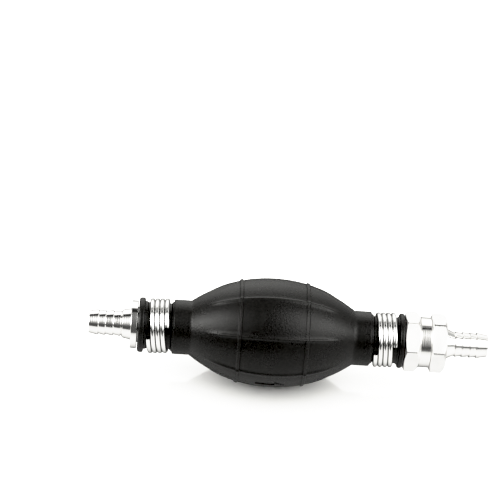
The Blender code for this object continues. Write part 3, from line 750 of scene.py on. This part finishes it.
def bulb_end(seat, bead_span):
    """Outer side of a bulb's end from the bead in to the belly, with rounds."""
    foot, bead = bead_span
    low, high = seat
    high = min(high, foot - NECK_LEFT)
    by_collar, by_bead = NECK_RADII
    return rounded([
        (bead, NECK_BORE + LIP, 0.0),
        (bead, BEAD_RADIUS, BEAD_ROUND),
        (foot, BEAD_RADIUS, BEAD_ROUND),
        (foot - BEAD_FOOT[0], by_bead, BEAD_FOOT[1]),
        (high + SEAT_SIDES[2], by_bead, NECK_ROUND),
        (high - SEAT_SIDES[1], CLAMP_SEAT, NECK_ROUND),
        (low + SEAT_SIDES[1], CLAMP_SEAT, NECK_ROUND),
        (low - SEAT_SIDES[0], by_collar, NECK_ROUND),
        (COLLAR_END + COLLAR_SLOPE, by_collar, NECK_ROUND),
        (COLLAR_END, COLLAR_RADIUS, COLLAR_ROUND),
        (COLLAR_START, COLLAR_RADIUS, 0.0),
    ])


def ring_rib(station):
    """Height of the ring ribs at a station."""
    past = abs(abs(station) - RING_RIB_STATION)
    return RING_RIB_HEIGHT * fade(past, RING_RIB_CREST, RING_RIB_FOOT)


def belly_line():
    """Outer side of the belly from the outlet end to the inlet end."""
    stations = set(np.round(np.linspace(-BELLY_END, BELLY_END, BELLY_ROWS), 4))
    close_rows = np.linspace(-RING_RIB_REACH, RING_RIB_REACH, RING_RIB_ROWS)
    for middle in (-RING_RIB_STATION, RING_RIB_STATION):
        stations |= set(np.round(middle + close_rows, 4))
    ordered = sorted(stations, reverse=True)
    spaced = [ordered[0]]
    for station in ordered[1:]:
        if spaced[-1] - station > LEAST_ROW:
            spaced.append(station)
    return [(s, belly_radius(s) + ring_rib(s)) for s in spaced]


def bulb_section():
    """Closed section of the bulb's wall."""
    outlet_end = bulb_end(clamp_seat("outlet"), BEADS[0])
    low, high = clamp_seat("inlet")
    inlet_end = [(-s, r) for s, r in reversed(bulb_end((-high, -low), BEADS[1]))]
    bore = [(-BEADS[1][1], NECK_BORE), (-THROAT_STATION, NECK_BORE)]
    for station in np.linspace(-BELLY_END, BELLY_END, CHAMBER_ROWS):
        bore.append((station, belly_radius(station, BULB_WALL)))
    bore += [(THROAT_STATION, NECK_BORE), (BEADS[0][1], NECK_BORE)]
    return outlet_end + belly_line() + inlet_end + bore


def bulb_elevations():
    """Places round the bulb, close together over each lengthwise rib."""
    rib = sorted({side * math.degrees(offset / BELLY_RADIUS)
                  for offset in RIB_COLUMNS for side in (-1.0, 1.0)})
    step = 360.0 / LONG_RIBS
    panel = np.linspace(rib[-1], step + rib[0], PANEL_COLUMNS + 2)[1:-1]
    one = rib + list(panel)
    return [LONG_RIB_ELEVATION + k * step + a for k in range(LONG_RIBS) for a in one]


def make_bulb(materials):
    """Rubber bulb with ring ribs, lengthwise ribs, collars, necks and beads."""
    elevations = bulb_elevations()
    bulb = skin("bulb_plain", [bulb_section()] * len(elevations), elevations)
    station, sideways, upward, radius = measured(bulb)
    outer = np.abs(station) < BELLY_END - SKIN_MARGIN
    outer &= radius > belly_radius(station) - 0.5 * BULB_WALL
    slope = station / BELLY_CURVE
    level = np.sqrt(1.0 - slope ** 2)
    outward = np.stack([slope, sideways / radius * level, upward / radius * level], 1)
    carry(bulb, "station", station)
    carry(bulb, "elevation", np.degrees(np.arctan2(upward, -sideways)))
    carry(bulb, "radius", radius)
    carry(bulb, "outward", outward * outer[:, None])
    tree = rib_tree(materials["bulb_rubber"])
    bulb = evaluated(bulb, tree, LONG_RIB_SIZES.values(), "ribbed_bulb")
    crest = bulb.data.attributes["crest"]
    raised = np.zeros(len(crest.data), np.float32)
    crest.data.foreach_get("value", raised)
    ring = np.array([ring_rib(s) / RING_RIB_HEIGHT for s in station]) * outer
    crest.data.foreach_set("value", np.maximum(raised * outer, ring).astype(np.float32))
    finish(bulb, "pump", "bulb_rubber", materials, ["bulb"], sharp=50.0)


def arrow_outline():
    """Flow arrow's outline as (along, across) points, tip on the outlet side."""
    start, tip = ARROW_SPAN
    neck = tip - ARROW_HEAD
    shaft, head = ARROW_HALF
    return [(start, -shaft), (neck, -shaft), (neck, -head), (tip, 0.0),
            (neck, head), (neck, shaft), (start, shaft)]


def make_arrow(materials):
    """Raised flow arrow that follows the bulb's skin."""
    shape = bmesh.new()
    corners = [shape.verts.new((x, y, ARROW_HEIGHT)) for x, y in arrow_outline()]
    top = shape.faces.new(corners)
    made = bmesh.ops.extrude_face_region(shape, geom=[top])
    for vertex in made["geom"]:
        if isinstance(vertex, bmesh.types.BMVert):
            vertex.co.z = -ARROW_SINK
    bmesh.ops.recalc_face_normals(shape, faces=shape.faces)
    rim = [e for e in shape.edges if all(v.co.z > 0.0 for v in e.verts)]
    bmesh.ops.bevel(shape, geom=rim, offset=ARROW_EDGE, segments=3, profile=0.5,
                    affect="EDGES", clamp_overlap=True)
    start, tip = ARROW_SPAN
    cuts = [((s, 0.0, 0.0), (1.0, 0.0, 0.0))
            for s in np.arange(start + ARROW_STEP, tip, ARROW_STEP)]
    cuts += [((0.0, across, 0.0), (0.0, 1.0, 0.0)) for across in ARROW_CUTS]
    for place, facing in cuts:
        everything = shape.verts[:] + shape.edges[:] + shape.faces[:]
        bmesh.ops.bisect_plane(shape, geom=everything, plane_co=place, plane_no=facing,
                               dist=1e-5)
    for vertex in shape.verts:
        along, across, up = vertex.co
        turn = ARROW_ELEVATION + math.degrees(across / BELLY_RADIUS)
        vertex.co = at(along, belly_radius(along) + up, turn)
    bmesh.ops.recalc_face_normals(shape, faces=shape.faces)
    arrow = from_bmesh("flow_arrow", shape)
    carry(arrow, "crest", np.full(len(arrow.data.vertices), ARROW_PALENESS))
    finish(arrow, "pump", "bulb_rubber", materials)


def on_axis(station):
    """Matrix from a local frame (Z towards the outlet, X down) at a station."""
    place = Matrix.Translation(((AXIS_X + station) * MM, 0.0, AXIS_Z * MM))
    return place @ Matrix.Rotation(math.radians(90.0), 4, "Y")


def paint_groove_shade(coil):
    """Store how deep each point of a clamp about Z lies between its turns, as a mask for painted
    shade there.
    """
    points = points_of(coil) / MM
    outwards = (np.hypot(points[:, 0], points[:, 1]) - CLAMP_COIL_RADIUS) / (0.5 * CLAMP_WIRE)
    # mask of painted shade, full from the wire's middle inwards and fading out towards its outer
    # side
    carry(coil, "groove_shade", np.clip(1.0 - outwards / GROOVE_SHADE_RISE, 0.0, 1.0))


def make_clamps(materials):
    """Wire clamp on each neck, leaning a little, both cut ends on the front."""
    tree = coil_tree(materials["spring_steel"])
    for side, (start, pitch, turns, cut, degrees, line) in CLAMPS.items():
        coil = wound(tree, side + "_wire_clamp", CLAMP_COIL_RADIUS, pitch, turns,
                     CLAMP_WIRE, CLAMP_MESH)
        paint_groove_shade(coil)
        half = 0.5 * pitch * turns
        first = Matrix.Rotation(math.radians(-(90.0 + cut)), 4, "Z")
        lean_angle = math.radians(-(90.0 + line))
        lean_axis = Vector((math.cos(lean_angle), math.sin(lean_angle), 0.0))
        lean = Matrix.Rotation(math.radians(degrees), 4, lean_axis)
        centred = Matrix.Translation((0.0, 0.0, -half * MM))
        coil.data.transform(on_axis(start + half) @ lean @ centred @ first)
        finish(coil, "pump", "spring_steel", materials, [side + "_clamp"], sharp=60.0)
    return tree


def make_springs(materials, tree):
    """Return spring of each valve."""
    low, high = SPRING_SPAN
    pitch = (high - low) / SPRING_TURNS
    for side, seat in SEATS.items():
        coil = wound(tree, side + "_return_spring", SPRING_RADIUS, pitch, SPRING_TURNS,
                     SPRING_WIRE, SPRING_MESH)
        coil.data.transform(on_axis(seat + low))
        finish(coil, "pump", "spring_steel", materials, [side + "_valve_spring"], sharp=60.0)
        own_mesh(coil)


def barb_corners(notches, tip):
    """Outer side of a hose barb from its tip to its innermost notch."""
    away = 1.0 if tip > notches[0] else -1.0
    corners = [(tip, HOSE_BORE + EDGE_BREAK, 0.0), (tip, TIP_RADIUS, "tip")]
    for notch in sorted(notches, key=lambda s: -away * s):
        corners.append((notch + away * BARB_STEP, BARB_CREST, "crest"))
        corners.append((notch, BARB_TROUGH, "notch"))
    return corners


def spigot_notches(side):
    """Saw-tooth notches that hold a spigot in its neck, from their outlet end."""
    sunk = (NOTCH_SIZE, 0.0) if side == "inlet" else (0.0, NOTCH_SIZE)
    corners = []
    for station in SPIGOT_NOTCHES[side]:
        for place, depth in zip((station + NOTCH_SIZE, station), sunk):
            corners.append((place, SPIGOT_RADIUS - depth, "notch"))
    return corners


def make_nipple(materials):
    """Inlet nipple: barb, cone, flange disc and the spigot in the neck."""
    low, high, radius = FLANGE
    cone_start, cone_radius, cone_foot = INLET_CONE
    outer = [(-SPIGOT_END, VALVE_BORE + EDGE_BREAK, 0.0),
             (-SPIGOT_END, SPIGOT_RADIUS, "spigot")]
    outer += spigot_notches("inlet")
    outer += [(high, SPIGOT_RADIUS, "root"), (high, radius, "edge"),
              (low, radius, "edge"), (low, cone_foot, "edge"),
              (cone_start, cone_radius, "root")]
    outer += reversed(barb_corners(INLET_NOTCHES, INLET_TIP))
    seat = SEATS["inlet"]
    groove_start, groove_end, groove_radius = CIRCLIP_GROOVE
    inner = [
        (INLET_TIP, HOSE_BORE + EDGE_BREAK, 0.0),
        (INLET_TIP + HOSE_MOUTH, HOSE_BORE, "notch"),
        (seat, HOSE_BORE, 0.0), (seat, VALVE_BORE, 0.0),
        (seat + groove_start, VALVE_BORE, 0.0), (seat + groove_start, groove_radius, 0.0),
        (seat + groove_end, groove_radius, 0.0), (seat + groove_end, VALVE_BORE, 0.0),
        (-SPIGOT_END - EDGE_BREAK, VALVE_BORE, 0.0)]
    nipple = turned("barbed_nipple", rounded(outer) + rounded(inner)[1:])
    finish(nipple, "pump", "turned_aluminium", materials, ["inlet_nipple"])


def hex_elevations(corner):
    """Places round a hexagon, close together over its rounded corners."""
    one = sorted({side * a for a in HEX_COLUMNS for side in (-1.0, 1.0)})
    one += list(np.linspace(one[-1], 60.0 + one[0], FLAT_COLUMNS + 2)[1:-1])
    return [corner + 60.0 * k + a for k in range(6) for a in one]


def hex_radius(elevation, corner, limit):
    """Radius of a hexagon with turned-down corners in one direction."""
    off = (elevation - corner + 30.0) % 60.0 - 30.0
    flat = HEX_FLAT / math.cos(math.radians(30.0 - abs(off)))
    blend = min(1.0, max(0.0, 0.5 + 0.5 * (limit - flat) / HEX_SOFTNESS))
    return limit * (1 - blend) + flat * blend - HEX_SOFTNESS * blend * (1 - blend)


def hex_skin(name, section_at, corner, limit):
    """Closed piece whose section changes with the hexagon's radius."""
    elevations = hex_elevations(corner)
    columns = [section_at(hex_radius(e, corner, limit)) for e in elevations]
    piece = skin(name, columns, elevations)
    radius = measured(piece)[3]
    depth, blur = MILLED_EDGE
    flats = np.clip((limit - depth - radius) / blur, 0.0, 1.0)
    carry(piece, "milled", flats * (radius > MILLED_FROM))
    return piece


def cut_thread(obj, crest, start, end, inward):
    """Sink a screw thread in a round wall; a turn about +X carries it one pitch."""
    points = points_of(obj)
    station, y, z, radius = measured(obj)
    wall = np.abs(radius - crest) < WALL_TOLERANCE
    wall &= (station > start - LIP) & (station < end + LIP)
    phase = (station / THREAD_PITCH - np.arctan2(z, y) / FULL_TURN) % 1.0
    steepness, width = THREAD_FORM
    tooth = np.clip(np.abs(2.0 * phase - 1.0) * steepness - width, 0.0, 1.0)
    if inward:
        tooth = 1.0 - tooth
    ends = np.clip(np.minimum(station - start, end - station) / THREAD_FADE, 0.0, 1.0)
    sunk = THREAD_DEPTH * tooth * ends * (1.0 if inward else -1.0)
    factor = np.where(wall, (radius + sunk) / radius, 1.0)
    points[:, 1] = y * factor * MM
    points[:, 2] = (z * factor + AXIS_Z) * MM
    obj.data.vertices.foreach_set("co", points.astype(np.float32).ravel())
    obj.data.update()


def stepped(start, end, radius):
    """Points at even steps along a wall, for a thread."""
    count = int(round(abs(end - start) / THREAD_ROW))
    return [(s, radius) for s in np.linspace(start, end, count + 1)]


def body_section(hexagon):
    """Section of the outlet body where its hexagon has this radius."""
    rise = (hexagon - CHAMFER_RADIUS) / (HEX_CORNERS[0] - CHAMFER_RADIUS)
    (slope_start, slope_top), (slope_end, sleeve) = BODY_SLOPE
    meets = slope_start + (slope_end - slope_start) * (slope_top - hexagon) / (
        slope_top - sleeve)
    ring_station, ring_radius = RING_SEAT
    corners = [
        (SLEEVE_END, ring_radius + EDGE_BREAK, 0.0), (SLEEVE_END, sleeve, "sleeve"),
        (slope_end, sleeve, "slope"), (meets, hexagon, "crest"),
        (BODY_FACE + CHAMFERS[0] * rise, hexagon, "hexagon"),
        (BODY_FACE, CHAMFER_RADIUS, "face"), (BODY_FACE, SPIGOT_RADIUS, "root"),
    ]
    corners += spigot_notches("outlet")
    corners += [(SPIGOT_END, SPIGOT_RADIUS, "spigot"),
                (SPIGOT_END, HOSE_BORE + EDGE_BREAK, 0.0)]
    seat = SEATS["outlet"]
    inner = [
        (SPIGOT_END + EDGE_BREAK, HOSE_BORE), (seat, HOSE_BORE), (seat, VALVE_BORE),
        (SOCKET_START, VALVE_BORE), (SOCKET_START, SOCKET_CREST)]
    inner += stepped(SOCKET_START + THREAD_MARGIN, ring_station - THREAD_MARGIN, SOCKET_CREST)
    inner += [(ring_station, SOCKET_CREST), RING_SEAT, (SLEEVE_END - EDGE_BREAK, ring_radius)]
    return rounded(corners) + inner


def tail_section(hexagon):
    """Section of the outlet tail where its hexagon has this radius."""
    rise = (hexagon - CHAMFER_RADIUS) / (HEX_CORNERS[1] - CHAMFER_RADIUS)
    last_corner, first_row = BOSS_ROOT
    taper, taper_depth = BOSS_TAPER
    funnel_radius, funnel = BOSS_FUNNEL
    corners = barb_corners(OUTLET_NOTCHES, OUTLET_TIP) + [
        (TAIL_HEX_END, OUTLET_CONE_RADIUS, "edge"),
        (TAIL_HEX_END, CHAMFER_RADIUS, "face"),
        (TAIL_HEX_END - CHAMFERS[2] * rise, hexagon, "hexagon"),
        (TAIL_FACE + CHAMFERS[1] * rise, hexagon, "hexagon"),
        (TAIL_FACE, CHAMFER_RADIUS, "face"), (TAIL_FACE, BOSS_CREST, "notch"),
        (TAIL_FACE - last_corner, BOSS_CREST, 0.0),
    ]
    boss = stepped(TAIL_FACE - first_row, BOSS_END + taper, BOSS_CREST)
    boss += [(BOSS_END, BOSS_CREST - taper_depth), (BOSS_END, funnel_radius),
             (BOSS_END + funnel, HOSE_BORE), (OUTLET_TIP - HOSE_MOUTH, HOSE_BORE)]
    return rounded(corners) + boss


def make_outlet(materials):
    """Hexagon body and the hexagon tail that screws into it."""
    body = hex_skin("hexagon_body", body_section, BODY_CORNER_ELEVATION, HEX_CORNERS[0])
    cut_thread(body, SOCKET_CREST, SOCKET_START + THREAD_MARGIN,
               RING_SEAT[0] - THREAD_MARGIN, inward=True)
    finish(body, "pump", "turned_aluminium", materials, ["outlet_body"], look="cast_aluminium")
    tail = hex_skin("hexagon_tail", tail_section, TAIL_CORNER_ELEVATION, HEX_CORNERS[1])
    cut_thread(tail, BOSS_CREST, BOSS_END + BOSS_TAPER[0], TAIL_FACE - BOSS_ROOT[1],
               inward=False)
    finish(tail, "tail", "cast_aluminium", materials, ["outlet_tail"])


def make_valves(materials):
    """Poppets, and the sealing ring round the tail's boss."""
    for side, seat in SEATS.items():
        section = [(s + seat, r) for s, r in rounded(POPPET)]
        poppet = turned(side + "_valve_poppet", section, 64)
        finish(poppet, side + "_valve", "brass", materials, [side + "_poppet"])
    root, thick = SEALING_RING
    middle = 0.5 * (RING_SEAT[0] + TAIL_FACE)
    centre = 0.5 * (root + RING_SEAT[1])
    angles = np.linspace(0.0, FULL_TURN, 17)[:-1]
    section = [(middle + thick * math.cos(a), centre + thick * math.sin(a)) for a in angles]
    ring = turned("boss_sealing_ring", section, 96)
    finish(ring, "ring_carrier", "seal_rubber", materials, ["outlet_sealing_ring"])


def dress_cad_nodes(materials):
    """Give the CAD pieces that stay their finish."""
    slots = {row["node"]: row["material_slot"] for row in frame["record"]["subparts"]}
    for name, node in frame["nodes"].items():
        if node.hide_render or not node.material_slots:
            continue
        node.material_slots[0].link = "OBJECT"
        node.material_slots[0].material = materials[slots[name]]


# ---- stage


def make_floor():
    """Glossy white table."""
    shape = bmesh.new()
    bmesh.ops.create_circle(shape, cap_ends=True, segments=96, radius=FLOOR_RADIUS * MM)
    floor = from_bmesh("table_top", shape)
    put_in(floor)
    white = new_material("glossy_white", Metallic=0.0, IOR=2.2, Base_Color=TABLE_WHITE,
                         Roughness=0.03)[0]
    floor.data.materials.append(white)
    floor.visible_glossy = False


def light_ramp(paint, share, stops):
    """Brightness against the angle up from the viewer's side and over the top."""
    ramp = paint.add("ShaderNodeValToRGB", [(0, share)])
    points = ramp.color_ramp.elements
    while len(points) > 1:
        points.remove(points[-1])
    for index, (degrees, strength) in enumerate(stops):
        position = degrees / 360.0 + 0.5
        point = points[0] if index == 0 else points.new(position)
        point.position = position
        point.color = (strength / BRIGHTEST,) * 3 + (1.0,)
    return paint.math("MULTIPLY", ramp.outputs["Color"], BRIGHTEST)


def eased(paint, angle, span, low, high):
    """Smooth step from low to high while an angle crosses a span in degrees."""
    start, end = (math.radians(a) for a in span)
    return paint.between(angle, start, end, low, high, "SMOOTHSTEP")


def tent_light(paint):
    """Light on the table, and the light tent as the pump mirrors it."""
    look = paint.add("ShaderNodeTexCoord").outputs["Generated"]
    turn = (0.0, math.radians(NOSE_DOWN), 0.0)
    level = paint.add("ShaderNodeMapping", [("Vector", look), ("Rotation", turn)])
    parts = paint.add("ShaderNodeSeparateXYZ", [("Vector", level.outputs[0])])
    front = paint.math("MULTIPLY", parts.outputs["Y"], -1.0)
    angle = paint.math("ARCTAN2", parts.outputs["Z"], front)
    share = paint.math("MULTIPLY_ADD", angle, 1.0 / FULL_TURN, 0.5)
    aside = paint.math("ARCSINE", parts.outputs["X"])
    middle = light_ramp(paint, share, MIDDLE_LIGHT)
    mirrored = middle
    for stops, edge in ((LEFT_LIGHT, LEFT_EDGE), (RIGHT_LIGHT, RIGHT_EDGE)):
        weight = eased(paint, aside, edge, 0.0, 1.0)
        beyond = paint.math("SUBTRACT", light_ramp(paint, share, stops), middle)
        mirrored = paint.math("MULTIPLY_ADD", weight, beyond, mirrored)
    shade = eased(paint, paint.math("ABSOLUTE", aside), END_SPAN, 1.0, END_SHADE)
    mirrored = paint.math("MULTIPLY", mirrored, shade)
    return light_ramp(paint, share, TABLE_LIGHT), mirrored


def make_light():
    """White light tent round the pump, and a soft panel overhead."""
    world = bpy.data.worlds.new("light_tent")
    bpy.context.scene.world = world
    world.use_nodes = True
    world.cycles.sampling_method = "NONE"
    paint = Nodes(world.node_tree)
    world.node_tree.nodes.clear()
    path = paint.add("ShaderNodeLightPath")
    table, mirrored = tent_light(paint)
    plain = paint.blend(path.outputs["Is Camera Ray"], table, BACKGROUND)
    strength = paint.blend(path.outputs["Is Glossy Ray"], plain, mirrored)
    glow = paint.add("ShaderNodeBackground", [("Strength", strength), ("Color", WARM_WHITE)])
    paint.add("ShaderNodeOutputWorld", [("Surface", glow.outputs[0])])
    lamp = bpy.data.lights.new("overhead_panel", "AREA")
    lamp.energy = PANEL_POWER
    lamp.size = PANEL_SIZE
    panel = bpy.data.objects.new("overhead_panel", lamp)
    panel.location = PANEL_PLACE
    panel.rotation_euler = Vector(PANEL_PLACE).to_track_quat("Z", "Y").to_euler()
    panel.visible_glossy = False
    panel.visible_camera = False
    put_in(panel)


def make_camera():
    """Camera at the photograph's place, turned so that the pump's level axis dips."""
    across = BULB_PIXEL[0] - 0.5 * PHOTO_SIDE
    down = BULB_PIXEL[1] - 0.5 * PHOTO_SIDE
    sight = Vector((across, -down, -FOCAL_PIXELS)).normalized()
    e = math.radians(SIGHT_ELEVATION)
    turn = Matrix.Rotation(math.radians(90.0) - e + math.atan2(down, FOCAL_PIXELS), 4, "X")
    pan = Matrix.Rotation(math.atan2(across, FOCAL_PIXELS), 4, "Z")
    look = pan @ turn
    seen = look.to_3x3() @ sight
    place = -seen * CAMERA_DISTANCE * MM
    dip = Matrix.Rotation(math.radians(-NOSE_DOWN), 4, "Y")
    centre = Matrix.Translation((AXIS_X * MM, 0.0, AXIS_Z * MM))
    data = bpy.data.cameras.new("camera")
    data.sensor_width = SENSOR
    data.lens = FOCAL_PIXELS / PHOTO_SIDE * SENSOR
    data.clip_start = 0.05
    data.clip_end = 20.0
    camera = bpy.data.objects.new("camera", data)
    put_in(camera)
    camera.matrix_world = centre @ dip @ Matrix.Translation(place) @ look
    bpy.context.scene.camera = camera


def develop():
    """Deep blacks and soft whites of a product photograph."""
    view = bpy.context.scene.view_settings
    view.view_transform = "Standard"
    view.use_curve_mapping = True
    mapping = view.curve_mapping
    mapping.black_level = (BLACK_LEVEL,) * 3
    mapping.white_level = (WHITE_LEVEL,) * 3
    points = mapping.curves[3].points
    for light, shown in TONE[1:-1]:
        points.new(light, shown)
    mapping.update()


def main():
    """Build, dress and light the pump."""
    develop()
    make_camera()
    make_light()
    make_floor()
    materials = make_materials()
    make_bulb(materials)
    make_arrow(materials)
    tree = make_clamps(materials)
    make_springs(materials, tree)
    make_nipple(materials)
    make_outlet(materials)
    make_valves(materials)
    dress_cad_nodes(materials)


main()
bpy.context.view_layer.update()
